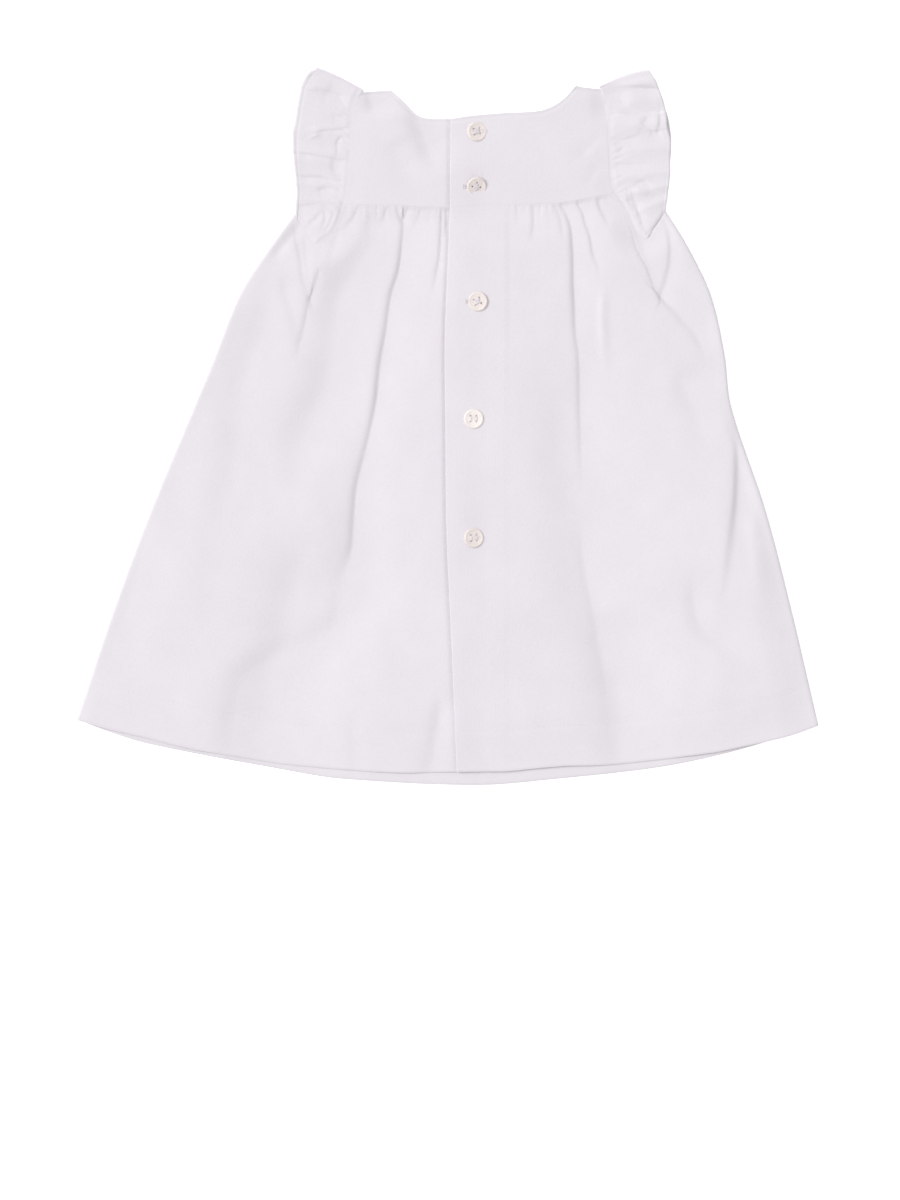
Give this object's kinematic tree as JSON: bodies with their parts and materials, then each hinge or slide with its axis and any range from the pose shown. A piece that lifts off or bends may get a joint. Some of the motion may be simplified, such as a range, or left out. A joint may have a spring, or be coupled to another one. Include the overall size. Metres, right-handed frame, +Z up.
{
  "type": "toddler dress",
  "caption": "Sleeveless toddler dress laid flat with its buttoned back up: square yoke, gathered skirt, flutter ruffles in the armholes and a button placket down to the hem.",
  "frame": {"origin": "on the surface that the dress lies on, under the middle of its outline", "axes": "+Z up through the flat cloth; +Y from the hem to the neck; +X across the dress, along the hem, to the right as seen from above, buttoned back up"},
  "size_m": [0.446, 0.4305, 0.0108],
  "materials": {
    "yoke_cotton": "brushed white cotton",
    "skirt_cotton": "brushed white cotton",
    "ruffle_cotton": "brushed white cotton",
    "button_resin": "polished off-white resin"
  },
  "bodies": {
    "root": {"front_yoke": "yoke_cotton", "front_skirt": "skirt_cotton", "back_yoke_left": "yoke_cotton", "back_yoke_right": "yoke_cotton", "back_skirt_left": "skirt_cotton", "back_skirt_right": "skirt_cotton", "ruffle_left": "ruffle_cotton", "ruffle_right": "ruffle_cotton", "button_1": "button_resin", "button_2": "button_resin", "button_3": "button_resin", "button_4": "button_resin", "button_5": "button_resin"}
  },
  "joints": []
}
